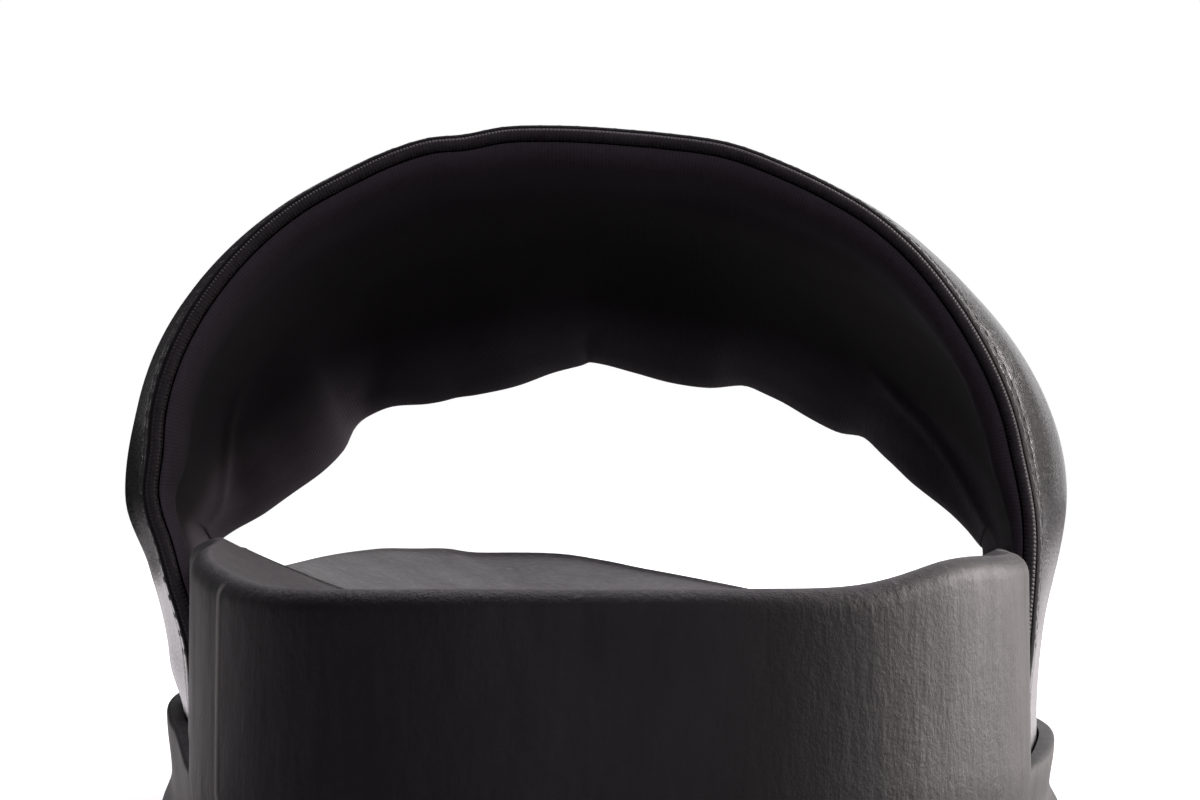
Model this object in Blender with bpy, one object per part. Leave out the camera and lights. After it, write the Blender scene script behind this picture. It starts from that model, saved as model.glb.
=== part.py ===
"""A sport slide sandal for the right foot, empty and standing on its sole.

Metres, +Z up, the toe towards +Y and the foot's outer side towards +X. The shapes are worked out in
the last's frame, whose zero is the back of the heel on the floor, and the whole shoe is then centred.
"""

import math

import bmesh
import bpy
from mathutils import Vector

# Plan of the sole
SOLE_LENGTH = 0.280
HEEL_WIDTH = 0.0756
WAIST_WIDTH = 0.0820
BAND_REAR_WIDTH = 0.0970
BALL_WIDTH = 0.1070
TOE_SWING = 0.015
HEEL_ROUNDNESS = 2.2
INNER_TOE_ROUNDNESS = 2.5
OUTER_TOE_ROUNDNESS = 2.2

# Heights of the sole
HEEL_SEAT_HEIGHT = 0.028
FOREFOOT_HEIGHT = 0.0225
RIM_RISE = 0.010
TOE_SPRING = 0.009
SPRING_START = 0.75
HEEL_BEVEL = 0.0015
HEEL_BEVEL_RUN = 0.014
WAIST_LIFT = 0.0018
FOOTBED_EDGE_RADIUS = 0.002
FOOTBED_DISH = 1.8

# Outsole and its tread
OUTSOLE_THICKNESS = 0.0042
OUTSOLE_LIP = 0.0012
TREAD_DEPTH = 0.0018
TREAD_GROOVE = 0.0026
TREAD_PITCH = 0.0115
TREAD_WAVE = 0.0035
TREAD_WAVES = 4

# Midsole tray that holds the footbed and the band's ends
TRAY_HEIGHT = 0.0115
TRAY_RIM = 0.0018
LOW_RIM_RISE = 0.0025
INNER_RIM_RISE = 0.0058
OUTER_RIM_RISE = 0.0026
SIDE_FLARE = 0.0012
SIDE_WAIST = 0.0006
TRAY_RIM_ROUND = 0.0006
LEDGE_RUN = 0.016
CORE_INSET = 0.014
SLOT_END_RUN = 0.003
SLOT_END_ROOM = 0.0015

# Band over the instep
BAND_CROWN_HEIGHT = 0.052
BAND_CROWN_SHIFT = 0.007
BAND_BULGE = 0.0070
BAND_WIDEST_HEIGHT = 0.043
SHELL_THICKNESS = 0.0020
EDGE_FOLD_THICKNESS = 0.0032
EDGE_FOLD_WIDTH = 0.0028
LINING_THICKNESS = 0.0046
LINING_FOOT_THICKNESS = 0.0012
BAND_PUFF = 0.0012
PUFF_RUN = 0.012
EDGE_ROUND = 0.0012
EDGE_ZONE = 0.018
LINING_EDGE_RUN = 0.0007
EDGE_STEP = 0.0001
LEG_SHARE = 0.18
FLARE_ONSET = 1.25
PAD_START = 0.0005
PAD_RUN = 0.014

# Clearance between pieces that meet
GAP = 0.0003

INNER, OUTER = -1, 1

# Plan extremes of each side: side, place along the length, width there, this side's share of it
PLAN = {
    INNER: (
        (0.15, HEEL_WIDTH, 0.500), (0.27, WAIST_WIDTH, 0.500),
        (0.41, BAND_REAR_WIDTH, 0.500), (0.61, BALL_WIDTH, 0.502),
    ),
    OUTER: (
        (0.15, HEEL_WIDTH, 0.500), (0.27, WAIST_WIDTH, 0.500),
        (0.41, BAND_REAR_WIDTH, 0.500), (0.58, BALL_WIDTH, 0.498),
    ),
}

# Footbed sections: place along the length, fall from heel seat to forefoot, rim rise inside, outside
FOOTBED = (
    (0.00, 0.00, 0.75, 0.75),
    (0.02, 0.00, 0.73, 0.76),
    (0.05, 0.00, 0.73, 0.95),
    (0.09, 0.00, 0.86, 0.96),
    (0.15, 0.01, 1.02, 0.96),
    (0.27, 0.08, 1.06, 0.94),
    (0.36, 0.24, 1.00, 0.84),
    (0.45, 0.48, 0.92, 0.66),
    (0.55, 0.78, 0.84, 0.44),
    (0.66, 0.97, 0.82, 0.26),
    (0.79, 1.00, 0.78, 0.06),
    (0.90, 1.00, 0.60, -0.10),
    (0.96, 1.00, 0.40, -0.11),
    (1.00, 1.00, -0.01, -0.01),
)

# Band edges, as shares of the sole's length: at the inner foot, the crown and the outer foot
REAR_EDGE = (0.393, 0.425, 0.371)
FRONT_EDGE = (0.757, 0.729, 0.750)

# Band sections, back to front: place across the band, then shares of the crown's height and shift,
# of the bulge and the widest point's height inside and outside, and the arch's fullness
BAND_SECTIONS = (
    {"at": 0.00, "crown": 1.00, "shift": 1.00, "inner_bulge": 1.00, "outer_bulge": 0.47,
     "inner_wide": 1.00, "outer_wide": 1.00, "fullness": 1.98},
    {"at": 0.45, "crown": 0.94, "shift": 0.83, "inner_bulge": 1.02, "outer_bulge": 0.42,
     "inner_wide": 0.95, "outer_wide": 0.95, "fullness": 1.95},
    {"at": 1.00, "crown": 0.635, "shift": 0.17, "inner_bulge": 0.83, "outer_bulge": 1.00,
     "inner_wide": 0.79, "outer_wide": 0.79, "fullness": 1.62},
)

# Sizes that follow from the ones above
SLOT_WIDTH = GAP + SHELL_THICKNESS + GAP + LINING_FOOT_THICKNESS + GAP
LEDGE = SLOT_WIDTH + TRAY_RIM
SPINE_BACK = 0.14
SPINE_FRONT = 0.85

# Fineness of the meshes
PLAN_STEPS = 34
LEG_STEPS = 5
ARCH_STEPS = 24
NORMAL_REACH = 0.010


def clamp(value, low=0.0, high=1.0):
    return max(low, min(high, value))


def mix(a, b, share):
    return a + (b - a) * share


def ease(share):
    """Goes smoothly from 0 to 1."""
    share = clamp(share)
    return share * share * (3 - 2 * share)


def curve(points, at):
    """A smooth curve through points of (place, value), level at both ends."""
    last = len(points) - 1
    i = next((k for k in range(last) if at < points[k + 1][0]), last - 1)

    def slope(k):
        if k in (0, last):
            return 0.0
        return (points[k + 1][1] - points[k - 1][1]) / (points[k + 1][0] - points[k - 1][0])

    (start, a), (end, b) = points[i], points[i + 1]
    span = end - start
    t = clamp((at - start) / span)
    return (
        (2 * t**3 - 3 * t**2 + 1) * a
        + (t**3 - 2 * t**2 + t) * span * slope(i)
        + (3 * t**2 - 2 * t**3) * b
        + (t**3 - t**2) * span * slope(i + 1)
    )


def through(rows, column, at):
    """A smooth curve through one column of a table whose first column is the place."""
    return curve([(row[0], row[column]) for row in rows], at)


def plan_x(side, y):
    """Where the sole's side stands, at this distance from the back of the heel."""
    stations = [(at * SOLE_LENGTH, side * width * share) for at, width, share in PLAN[side]]
    heel_y, heel_x = stations[0]
    ball_y, ball_x = stations[-1]
    if y < heel_y:
        reach = clamp((heel_y - y) / heel_y)
        return heel_x * (1 - reach**HEEL_ROUNDNESS) ** (1 / HEEL_ROUNDNESS)
    if y > ball_y:
        roundness = INNER_TOE_ROUNDNESS if side == INNER else OUTER_TOE_ROUNDNESS
        reach = clamp((y - ball_y) / (SOLE_LENGTH - ball_y))
        return mix(-TOE_SWING, ball_x, (1 - reach**roundness) ** (1 / roundness))
    return curve(stations, y)


def spine_x(y):
    return (plan_x(INNER, y) + plan_x(OUTER, y)) / 2


def spring_z(y):
    """How far the sole has lifted towards the toe."""
    return TOE_SPRING * clamp((y / SOLE_LENGTH - SPRING_START) / (1 - SPRING_START)) ** 2


def ground_z(y):
    """Underside of the outsole: flat under heel and ball, lifted at the waist, sprung at the toe."""
    at = y / SOLE_LENGTH
    bevel = HEEL_BEVEL * clamp(1 - y / HEEL_BEVEL_RUN) ** 2
    waist = WAIST_LIFT * math.sin(math.pi * clamp((at - 0.36) / 0.20)) ** 2
    return spring_z(y) + bevel + waist


def tray_z(y):
    return TRAY_HEIGHT + spring_z(y)


def floor_z(y):
    """Footbed surface along its middle."""
    fall = through(FOOTBED, 1, y / SOLE_LENGTH)
    return mix(HEEL_SEAT_HEIGHT, FOREFOOT_HEIGHT, fall) + spring_z(y)


def rim_rise(side, y):
    return RIM_RISE * through(FOOTBED, 2 if side == INNER else 3, y / SOLE_LENGTH)


def rim_z(side, y):
    return floor_z(y) + rim_rise(side, y)


def band_foot_span(side):
    """Where the band enters the sole on this side, from back to front."""
    k = 0 if side == INNER else 2
    return REAR_EDGE[k] * SOLE_LENGTH, FRONT_EDGE[k] * SOLE_LENGTH


def ledge_share(side, y):
    """How far the footbed has drawn in beside the band, from 0 to 1."""
    back, front = band_foot_span(side)
    back, front = back - SLOT_END_RUN - SLOT_END_ROOM, front + SLOT_END_RUN + SLOT_END_ROOM
    return ease((y - back + LEDGE_RUN) / LEDGE_RUN) * ease((front + LEDGE_RUN - y) / LEDGE_RUN)


def slot_share(side, y):
    """1 along the slot that takes the band's end, 0 past its ends."""
    back, front = band_foot_span(side)
    back, front = back - SLOT_END_ROOM, front + SLOT_END_ROOM
    return ease((y - back + SLOT_END_RUN) / SLOT_END_RUN) * ease((front + SLOT_END_RUN - y) / SLOT_END_RUN)


def tray_rim_z(side, y):
    high = INNER_RIM_RISE if side == INNER else OUTER_RIM_RISE
    return tray_z(y) + mix(LOW_RIM_RISE, high, ledge_share(side, y))


def footbed_offset(side, y):
    """The footbed's wall: flush with the sole's side, but drawn in beside the band."""
    return -LEDGE * ledge_share(side, y)


def tray_wall_offset(side, y):
    """The tray's inner wall: it clears the footbed, and the band's ends where they go in."""
    clear = footbed_offset(side, y) + GAP
    return min(mix(clear, -TRAY_RIM, slot_share(side, y)), -TRAY_RIM)


class Plan:
    """The sole's outline as points from heel tip to toe tip inside, and back outside."""

    def __init__(self, steps):
        ys = {SOLE_LENGTH * (1 - math.cos(math.pi * i / steps)) / 2 for i in range(steps + 1)}
        slot_ends = set()
        for side in (INNER, OUTER):
            back, front = band_foot_span(side)
            slot_ends |= {back - SLOT_END_ROOM, back - SLOT_END_ROOM - SLOT_END_RUN}
            slot_ends |= {front + SLOT_END_ROOM, front + SLOT_END_ROOM + SLOT_END_RUN}
        apart = SLOT_END_RUN / 2
        kept = [y for y in ys if all(abs(y - end) > apart for end in slot_ends)]
        ys = []
        for y in sorted(kept + sorted(slot_ends)):
            if not ys or y - ys[-1] > apart / 4:
                ys.append(y)
        self.sides = [INNER] * len(ys) + [OUTER] * (len(ys) - 2)
        self.ys = ys + ys[-2:0:-1]
        self.points = [Vector((plan_x(s, y), y)) for s, y in zip(self.sides, self.ys)]
        self.outward = []
        count = len(self.points)
        for i in range(count):
            along = (self.points[(i + 1) % count] - self.points[i - 1]).normalized()
            self.outward.append(Vector((-along.y, along.x)))

    def ring(self, offset, height, inwards=0.0):
        """A loop of points: offset(side, y) outwards from the outline, then a share inwards to the
        spine, at height(side, y of the outline, y of the point)."""
        loop = []
        for side, y, point, outward in zip(self.sides, self.ys, self.points, self.outward):
            place = point + outward * offset(side, y)
            spine_y = clamp(y, SPINE_BACK * SOLE_LENGTH, SPINE_FRONT * SOLE_LENGTH)
            place = place.lerp(Vector((spine_x(spine_y), spine_y)), inwards)
            loop.append(Vector((place.x, place.y, height(side, y, place.y))))
        return loop


def make_object(name, collection, material, mesh_maker, smooth_angle=40):
    """One closed mesh object, its doubled points welded and its faces turned outwards."""
    bm = bmesh.new()
    mesh_maker(bm)
    bmesh.ops.remove_doubles(bm, verts=bm.verts, dist=1e-6)
    bmesh.ops.recalc_face_normals(bm, faces=bm.faces)
    mesh = bpy.data.meshes.new(name)
    bm.to_mesh(mesh)
    bm.free()
    mesh.shade_smooth()
    mesh.set_sharp_from_angle(angle=math.radians(smooth_angle))
    mesh.materials.append(material)
    obj = bpy.data.objects.new(name, mesh)
    collection.objects.link(obj)
    return obj


def bridge(bm, rings, closed_ends=False):
    """Faces between each loop of points and the next, with flat ends where asked."""
    loops = [[bm.verts.new(p) for p in ring] for ring in rings]
    count = len(loops[0])
    for a, b in zip(loops, loops[1:]):
        for i in range(count):
            j = (i + 1) % count
            bm.faces.new((a[i], a[j], b[j], b[i]))
    if closed_ends:
        bm.faces.new(loops[0])
        bm.faces.new(list(reversed(loops[-1])))


def stacked(plan, levels):
    """A mesh maker for a solid stacked from plan rings, whose first and last close on the spine."""
    return lambda bm: bridge(bm, [plan.ring(*level) for level in levels])


def constant(value):
    return lambda side, y: value


def along_point(height, lift=0.0):
    """A height that follows the point's own place along the shoe."""
    return lambda side, wall_y, y: height(y) + lift


def outsole_levels():
    """Rubber sheet under the whole sole, before its tread is cut: bevel and waist thin it from below."""
    under = along_point(ground_z)
    top = along_point(spring_z, OUTSOLE_THICKNESS)
    return [
        (constant(-CORE_INSET), under, 1.0),
        (constant(-CORE_INSET), under, 0.5),
        (constant(-CORE_INSET), under),
        (constant(SIDE_FLARE - OUTSOLE_LIP), under),
        (constant(SIDE_FLARE), along_point(ground_z, OUTSOLE_LIP)),
        (constant(SIDE_FLARE), top),
        (constant(0.0), top),
        (constant(-CORE_INSET), top),
        (constant(-CORE_INSET), top, 0.5),
        (constant(-CORE_INSET), top, 1.0),
    ]


def midsole_levels():
    """Foam body: a tray whose rim stands outside the footbed and outside the band's ends."""
    under = along_point(spring_z, OUTSOLE_THICKNESS + GAP)
    floor = along_point(tray_z)
    waist_z = lambda s, wall_y, y: mix(spring_z(y) + OUTSOLE_THICKNESS, tray_rim_z(s, wall_y), 0.45)
    rim_top = lambda s, wall_y, y: tray_rim_z(s, wall_y)
    return [
        (constant(-CORE_INSET), under, 1.0),
        (constant(-CORE_INSET), under, 0.5),
        (constant(-CORE_INSET), under),
        (constant(SIDE_FLARE * 0.7), under),
        (constant(-SIDE_WAIST), waist_z),
        (constant(0.0), lambda s, wall_y, y: tray_rim_z(s, wall_y) - TRAY_RIM_ROUND),
        (constant(-TRAY_RIM_ROUND), rim_top),
        (tray_wall_offset, rim_top),
        (tray_wall_offset, floor),
        (constant(-CORE_INSET), floor),
        (constant(-CORE_INSET), floor, 0.5),
        (constant(-CORE_INSET), floor, 1.0),
    ]


def footbed_levels():
    """Contoured top layer: its foot stands in the tray, its wall is flush with the sole's side."""
    under = along_point(tray_z, GAP)
    above_rim = lambda s, wall_y, y: tray_rim_z(s, wall_y) + GAP

    def foot(side, y):
        return min(footbed_offset(side, y), -TRAY_RIM - GAP)

    def wall(less):
        return lambda s, y: footbed_offset(s, y) - less

    def near_top(below):
        return lambda s, wall_y, y: rim_z(s, wall_y) - below

    def dished(inwards):
        return lambda s, wall_y, y: floor_z(y) + rim_rise(s, wall_y) * (1 - inwards) ** FOOTBED_DISH

    radius = FOOTBED_EDGE_RADIUS
    levels = [
        (constant(-CORE_INSET), under, 1.0),
        (constant(-CORE_INSET), under, 0.5),
        (constant(-CORE_INSET), under),
        (foot, under),
        (foot, above_rim),
        (wall(0.0), above_rim),
        (wall(0.0), near_top(radius)),
        (wall(0.3 * radius), near_top(0.3 * radius)),
        (wall(radius), near_top(0.0)),
    ]
    for inwards in (0.06, 0.16, 0.30, 0.50, 0.75, 1.0):
        levels.append((wall(radius), dished(inwards), inwards))
    return levels


def zigzag(x):
    """Sideways wave of the tread, from -1 to 1."""
    phase = (x / BALL_WIDTH * TREAD_WAVES) % 1.0
    return 4 * abs(phase - 0.5) - 1


def tread_rows():
    """Places of the tread's grooves along the shoe, under the heel and under the forefoot."""
    rows = []
    y = HEEL_BEVEL_RUN + TREAD_PITCH / 2
    while y < SOLE_LENGTH - TREAD_PITCH:
        if not 0.34 < y / SOLE_LENGTH < 0.56:
            rows.append(y)
        y += TREAD_PITCH
    return rows


def tread_cutter(bm):
    """Zigzag bars that run out through both sides of the outsole."""
    half_turns = TREAD_WAVES * 2
    reach = BALL_WIDTH / 2 * (1 + 2 / TREAD_WAVES)
    steps = half_turns + 4
    for row in tread_rows():
        rings = []
        for i in range(steps + 1):
            x = mix(-reach, reach, i / steps)
            y = row + TREAD_WAVE * zigzag(x)
            top = ground_z(y) + TREAD_DEPTH
            bottom = ground_z(y) - OUTSOLE_THICKNESS
            back, front = y - TREAD_GROOVE / 2, y + TREAD_GROOVE / 2
            rings.append([
                Vector((x, back, bottom)), Vector((x, front, bottom)),
                Vector((x, front, top)), Vector((x, back, top)),
            ])
        bridge(bm, rings, closed_ends=True)


def band_section(across):
    """The band's section values at this share of the way from its rear to its front edge."""
    a, b, c = BAND_SECTIONS
    u, v, w = a["at"], b["at"], c["at"]
    la = (across - v) * (across - w) / ((u - v) * (u - w))
    lb = (across - u) * (across - w) / ((v - u) * (v - w))
    lc = (across - u) * (across - v) / ((w - u) * (w - v))
    return {key: la * a[key] + lb * b[key] + lc * c[key] for key in a}


def edge_y(edge, around):
    """Place of a band edge along the shoe, from the inner foot (0) over the crown to the outer (1)."""
    inner, crown, outer = (share * SOLE_LENGTH for share in edge)
    lift = math.sin(math.pi * clamp(around)) ** 1.6
    return mix(inner, outer, ease(around)) + (crown - (inner + outer) / 2) * lift


def band_surface(around, across):
    """A point on the band's outer surface, as if its padding reached both edges."""
    y = mix(edge_y(REAR_EDGE, around), edge_y(FRONT_EDGE, around), across)
    section = band_section(across)
    side = INNER if around < 0.5 else OUTER
    name = "inner" if side == INNER else "outer"
    foot_x = plan_x(side, y) - side * (TRAY_RIM + GAP)
    wide_x = foot_x + side * section[name + "_bulge"] * BAND_BULGE
    wide_z = section[name + "_wide"] * BAND_WIDEST_HEIGHT
    from_foot = around if side == INNER else 1 - around
    if from_foot < LEG_SHARE:
        foot_z = tray_z(y) + GAP
        z = mix(foot_z, wide_z, from_foot / LEG_SHARE)
        leaves = tray_rim_z(side, y)
        flare = clamp((z - leaves) / (wide_z - leaves)) ** FLARE_ONSET
        return Vector((mix(foot_x, wide_x, ease(flare)), y, z))
    turn = math.pi / 2 * (from_foot - LEG_SHARE) / (0.5 - LEG_SHARE)
    power = 2 / section["fullness"]
    crown_x = spine_x(y) - section["shift"] * BAND_CROWN_SHIFT
    clear = section["crown"] * BAND_CROWN_HEIGHT
    crown_z = floor_z(y) + clear + SHELL_THICKNESS + LINING_THICKNESS
    return Vector((
        mix(crown_x, wide_x, max(math.cos(turn), 0.0) ** power),
        y,
        mix(wide_z, crown_z, math.sin(turn) ** power),
    ))


def band_padding(around, across):
    """0 where the band stands in its slot beside the footbed, 1 where it is fully padded."""
    point = band_surface(around, across)
    side = INNER if around < 0.5 else OUTER
    return ease((point.z - rim_z(side, point.y) - PAD_START) / PAD_RUN)


def band_point(around, across, depth):
    """A point this deep under the band's outer surface."""
    step = NORMAL_REACH
    point = band_surface(around, across)
    low, high = clamp(around - step), clamp(around + step)
    along = band_surface(high, across) - band_surface(low, across)
    forward = band_surface(around, across + step) - band_surface(around, across - step)
    return point - along.cross(forward).normalized() * depth


def band_stations():
    """Places around the band: closer together on the legs' upper part and over the arch."""
    leg = [LEG_SHARE * i / LEG_STEPS for i in range(LEG_STEPS)]
    arch = [mix(LEG_SHARE, 1 - LEG_SHARE, i / ARCH_STEPS) for i in range(ARCH_STEPS + 1)]
    return leg + arch + [1 - x for x in reversed(leg)]


def band_width(around):
    return edge_y(FRONT_EDGE, around) - edge_y(REAR_EDGE, around)


def both_edges(rows):
    """Rows of (distance, middle share, depths) from the rear edge to the band's middle, carried on
    to the front edge. A row's place is its distance from the edge and its share of what is left."""
    rear = [(distance, share, depths, False) for distance, share, depths in rows]
    front = [(distance, share, depths, True) for distance, share, depths in rows if share < 1]
    return rear + list(reversed(front))


def swept_band(rows, depth_at):
    """A mesh maker that sweeps the closed profile of these rows round the band. depth_at(distance,
    depth, padding) is how deep a row's point lies under the outer surface."""
    def maker(bm):
        rings = []
        for around in band_stations():
            width = band_width(around)
            ring = []
            for distance, share, depth, from_front in rows:
                place = (distance + share * (width / 2 - distance)) / width
                across = 1 - place if from_front else place
                padding = band_padding(around, across)
                ring.append(band_point(around, across, depth_at(place * width, depth, padding)))
            rings.append(ring)
        bridge(bm, rings, closed_ends=True)
    return maker


def puff_depth(distance, padding):
    """How far the outer surface sinks near an edge, where the padding ends."""
    return BAND_PUFF * padding * (1 - ease(distance / PUFF_RUN))


def sheet_places():
    """Where the band's inner faces have their rows: distance from an edge, share of the middle."""
    near = [(share * EDGE_ZONE, 0.0) for share in (0.33, 0.56, 1.0)]
    return near + [(EDGE_ZONE, share) for share in (0.33, 0.67, 1.0)]


def shell_rows():
    """Leather shell: a thin sheet whose edges fold under to make a lip round the lining."""
    fold = EDGE_FOLD_THICKNESS
    corner = 0.29 * EDGE_ROUND
    outer = [(0.0, 0.0, 0.50 * fold), (corner, 0.0, 0.16 * fold), (EDGE_ROUND, 0.0, 0.0)]
    outer += [(EDGE_FOLD_WIDTH, 0.0, 0.0)]
    outer += [(distance, share, 0.0) for distance, share in sheet_places()]
    inner = [(corner, 0.0, 0.84 * fold), (EDGE_ROUND, 0.0, fold), (EDGE_FOLD_WIDTH, 0.0, fold)]
    inner += [(EDGE_FOLD_WIDTH + EDGE_STEP, 0.0, SHELL_THICKNESS)]
    inner += [(distance, share, SHELL_THICKNESS) for distance, share in sheet_places()]
    return both_edges(outer) + list(reversed(both_edges(inner)))


def shell_depth(distance, depth, padding):
    return depth + puff_depth(distance, padding)


def lining_rows():
    """Padded lining between the shell's folded edges, each row with its share of the thickness."""
    start = EDGE_FOLD_WIDTH + EDGE_STEP + GAP
    face = [(start, 0.0, 0.20), (start + LINING_EDGE_RUN, 0.0, 0.46)]
    fullness = (0.70, 0.88, 0.97, 1.00, 1.00, 1.00)
    face += [(*place, full) for place, full in zip(sheet_places(), fullness)]
    seat = [(distance, share, 0.0) for distance, share, _ in face]
    return both_edges(seat) + list(reversed(both_edges(face)))


def lining_depth(distance, share, padding):
    thin = LINING_FOOT_THICKNESS * min(2 * share, 1.0)
    seat = SHELL_THICKNESS + GAP + puff_depth(distance, padding)
    return seat + mix(thin, LINING_THICKNESS * share, padding)


def material(name, colour, roughness):
    made = bpy.data.materials.new(name)
    made.use_nodes = True
    shader = made.node_tree.nodes["Principled BSDF"]
    shader.inputs["Base Color"].default_value = (*colour, 1.0)
    shader.inputs["Roughness"].default_value = roughness
    shader.inputs["Metallic"].default_value = 0.0
    return made


def cut(obj, cutter):
    boolean = obj.modifiers.new("tread", "BOOLEAN")
    boolean.operation = "DIFFERENCE"
    boolean.object = cutter
    cutter.hide_render = True
    cutter.display_type = "WIRE"


def centre_on_floor(objects):
    """Moves the last's frame so that the shoe's box is centred over the origin."""
    bpy.context.view_layer.update()
    corners = [obj.matrix_world @ Vector(c) for obj in objects for c in obj.bound_box]
    middle = Vector((
        (min(c.x for c in corners) + max(c.x for c in corners)) / 2,
        (min(c.y for c in corners) + max(c.y for c in corners)) / 2,
        0.0,
    ))
    for obj in bpy.data.objects:
        obj.location -= middle


def main():
    for obj in list(bpy.data.objects):
        bpy.data.objects.remove(obj)
    scene = bpy.context.scene
    slide = bpy.data.collections.new("slide_sandal")
    cutters = bpy.data.collections.new("cutters")
    scene.collection.children.link(slide)
    scene.collection.children.link(cutters)

    rubber = material("outsole_rubber", (0.020, 0.019, 0.020), 0.70)
    tray_foam = material("midsole_foam", (0.030, 0.029, 0.031), 0.60)
    bed_foam = material("footbed_foam", (0.032, 0.031, 0.033), 0.60)
    leather = material("strap_leather", (0.015, 0.014, 0.015), 0.40)
    textile = material("strap_textile", (0.010, 0.009, 0.010), 0.85)

    plan = Plan(PLAN_STEPS)
    outsole = make_object("outsole", slide, rubber, stacked(plan, outsole_levels()))
    cut(outsole, make_object("tread_cutter", cutters, rubber, tread_cutter))
    midsole = make_object("midsole", slide, tray_foam, stacked(plan, midsole_levels()))
    footbed = make_object("footbed", slide, bed_foam, stacked(plan, footbed_levels()))
    upper = make_object("strap_upper", slide, leather, swept_band(shell_rows(), shell_depth))
    lining = make_object("strap_lining", slide, textile, swept_band(lining_rows(), lining_depth))
    centre_on_floor([outsole, midsole, footbed, upper, lining])


main()
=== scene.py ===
"""Looks of the slide sandal: fine skins over its solids, stitches, materials, light and camera.

Shapes are worked out in the last's frame, in metres, whose zero is the back of the heel on the floor,
with +Y towards the toe and +X towards the outer side of the right foot.
"""

import math

import bmesh
import bpy
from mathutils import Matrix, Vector, noise


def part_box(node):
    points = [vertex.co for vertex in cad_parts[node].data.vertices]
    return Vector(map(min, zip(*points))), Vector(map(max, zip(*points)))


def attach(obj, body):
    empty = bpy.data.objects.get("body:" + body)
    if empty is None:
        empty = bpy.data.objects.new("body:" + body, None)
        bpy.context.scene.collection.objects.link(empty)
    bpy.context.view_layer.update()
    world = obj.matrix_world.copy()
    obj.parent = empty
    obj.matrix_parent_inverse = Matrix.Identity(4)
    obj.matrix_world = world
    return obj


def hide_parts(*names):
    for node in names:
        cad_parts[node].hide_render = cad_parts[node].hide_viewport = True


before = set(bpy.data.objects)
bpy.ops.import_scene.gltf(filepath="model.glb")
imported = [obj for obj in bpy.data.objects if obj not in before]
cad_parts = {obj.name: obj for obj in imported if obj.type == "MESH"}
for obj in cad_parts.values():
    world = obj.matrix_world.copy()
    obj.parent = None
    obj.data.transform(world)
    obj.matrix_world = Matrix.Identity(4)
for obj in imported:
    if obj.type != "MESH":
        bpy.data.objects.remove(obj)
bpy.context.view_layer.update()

# The solids' named sizes
SOLE_LENGTH = 0.280
HEEL_WIDTH = 0.0756
WAIST_WIDTH = 0.0820
BAND_REAR_WIDTH = 0.0970
BALL_WIDTH = 0.1070
TOE_SWING = 0.015
HEEL_ROUNDNESS = 2.2
INNER_TOE_ROUNDNESS = 2.5
OUTER_TOE_ROUNDNESS = 2.2
HEEL_SEAT_HEIGHT = 0.028
FOREFOOT_HEIGHT = 0.0225
RIM_RISE = 0.010
TOE_SPRING = 0.009
SPRING_START = 0.75
FOOTBED_EDGE_RADIUS = 0.002
FOOTBED_DISH = 1.8
OUTSOLE_THICKNESS = 0.0042
TRAY_HEIGHT = 0.0115
TRAY_RIM = 0.0018
LOW_RIM_RISE = 0.0025
INNER_RIM_RISE = 0.0058
OUTER_RIM_RISE = 0.0026
SIDE_FLARE = 0.0012
SIDE_WAIST = 0.0006
TRAY_RIM_ROUND = 0.0006
LEDGE_RUN = 0.016
CORE_INSET = 0.014
SLOT_END_RUN = 0.003
SLOT_END_ROOM = 0.0015
BAND_CROWN_HEIGHT = 0.052
BAND_CROWN_SHIFT = 0.007
BAND_BULGE = 0.0070
BAND_WIDEST_HEIGHT = 0.043
SHELL_THICKNESS = 0.0020
LINING_THICKNESS = 0.0046
LINING_FOOT_THICKNESS = 0.0012
BAND_PUFF = 0.0012
PUFF_RUN = 0.012
LEG_SHARE = 0.18
FLARE_ONSET = 1.25
PAD_START = 0.0005
PAD_RUN = 0.014
GAP = 0.0003
SPINE_BACK = 0.14
SPINE_FRONT = 0.85
EDGE_SWEEP = 1.6
SLOT_WIDTH = GAP + SHELL_THICKNESS + GAP + LINING_FOOT_THICKNESS + GAP
LEDGE = SLOT_WIDTH + TRAY_RIM
INNER, OUTER = -1, 1

PLAN = {
    INNER: ((0.15, HEEL_WIDTH, 0.500), (0.27, WAIST_WIDTH, 0.500),
            (0.41, BAND_REAR_WIDTH, 0.500), (0.61, BALL_WIDTH, 0.502)),
    OUTER: ((0.15, HEEL_WIDTH, 0.500), (0.27, WAIST_WIDTH, 0.500),
            (0.41, BAND_REAR_WIDTH, 0.500), (0.58, BALL_WIDTH, 0.498)),
}
FOOTBED = (
    (0.00, 0.00, 0.75, 0.75),
    (0.02, 0.00, 0.73, 0.76),
    (0.05, 0.00, 0.73, 0.95),
    (0.09, 0.00, 0.86, 0.96),
    (0.15, 0.01, 1.02, 0.96),
    (0.27, 0.08, 1.06, 0.94),
    (0.36, 0.24, 1.00, 0.84),
    (0.45, 0.48, 0.92, 0.66),
    (0.55, 0.78, 0.84, 0.44),
    (0.66, 0.97, 0.82, 0.26),
    (0.79, 1.00, 0.78, 0.06),
    (0.90, 1.00, 0.60, -0.08),
    (0.96, 1.00, 0.39, -0.12),
    (0.985, 1.00, 0.22, -0.09),
    (0.994, 1.00, 0.15, -0.02),
    (1.00, 1.00, 0.045, 0.045),
)
REAR_EDGE = (0.393, 0.425, 0.371)
FRONT_EDGE = (0.757, 0.729, 0.750)
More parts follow.
